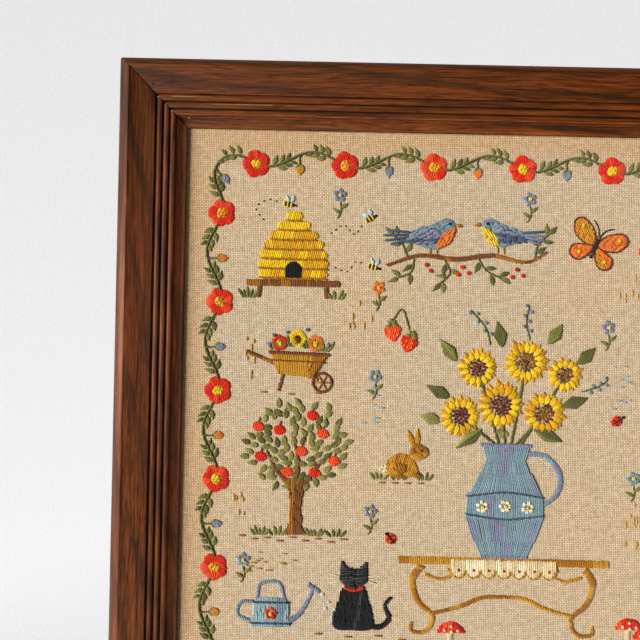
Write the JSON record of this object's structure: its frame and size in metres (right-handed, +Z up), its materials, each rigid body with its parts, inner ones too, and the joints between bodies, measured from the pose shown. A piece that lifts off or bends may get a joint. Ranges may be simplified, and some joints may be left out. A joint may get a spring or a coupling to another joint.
{
  "type": "framed crewel embroidery picture with its oak frame",
  "caption": "Flat embroidered linen panel stretched over a board in a mitred, reeded oak picture frame that hangs flat on a wall.",
  "frame": {"origin": "centre of the hanging face, on the back of the top rail, half way along it and 20 mm below its outer edge", "axes": "+X to the right of someone who looks at the picture, +Y into the wall behind it, +Z up"},
  "size_m": [0.586, 0.0216, 0.484],
  "materials": {
    "stained_oak": "satin",
    "linen": "matte",
    "wool": "matte",
    "backing": "matte"
  },
  "bodies": {
    "root": {"rail_bottom": "stained_oak", "rail_left": "stained_oak", "rail_top": "stained_oak", "rail_right": "stained_oak", "linen_ground": "linen", "backing_board": "backing"}
  },
  "joints": []
}
